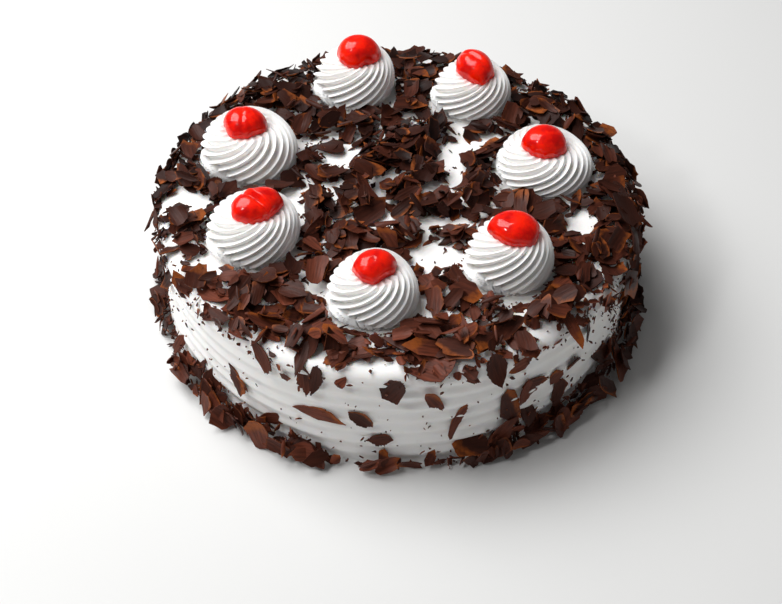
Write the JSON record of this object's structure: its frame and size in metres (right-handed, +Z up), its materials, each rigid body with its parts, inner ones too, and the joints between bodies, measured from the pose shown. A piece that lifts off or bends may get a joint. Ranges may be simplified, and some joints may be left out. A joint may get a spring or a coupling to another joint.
{
  "type": "black forest cake",
  "caption": "Whole round cream-covered cake with a combed side, chocolate shavings over its top, rim and foot, and a ring of piped rosettes topped with glace cherry halves.",
  "frame": {"origin": "middle of the cake's flat base, on the surface that it stands on", "axes": "+Z up through the middle of the cake, -Y towards the front of the picture, +X to its right"},
  "size_m": [0.2401, 0.2359, 0.0945],
  "materials": {
    "whipped_cream": "smooth whipped cream, soft satin",
    "dark_chocolate": "broken and shaved dark chocolate, dull with satin faces",
    "glace_cherry": "sugared cherry in wet clear syrup, glossy"
  },
  "bodies": {
    "root": {"cake": "whipped_cream", "rosette_back_left": "whipped_cream", "rosette_back_right": "whipped_cream", "rosette_right": "whipped_cream", "rosette_right_front": "whipped_cream", "rosette_front": "whipped_cream", "rosette_left_front": "whipped_cream", "rosette_left_back": "whipped_cream", "cherry_back_left": "glace_cherry", "cherry_back_right": "glace_cherry", "cherry_right": "glace_cherry", "cherry_right_front": "glace_cherry", "cherry_front": "glace_cherry", "cherry_left_front": "glace_cherry", "cherry_left_back": "glace_cherry"}
  },
  "joints": []
}
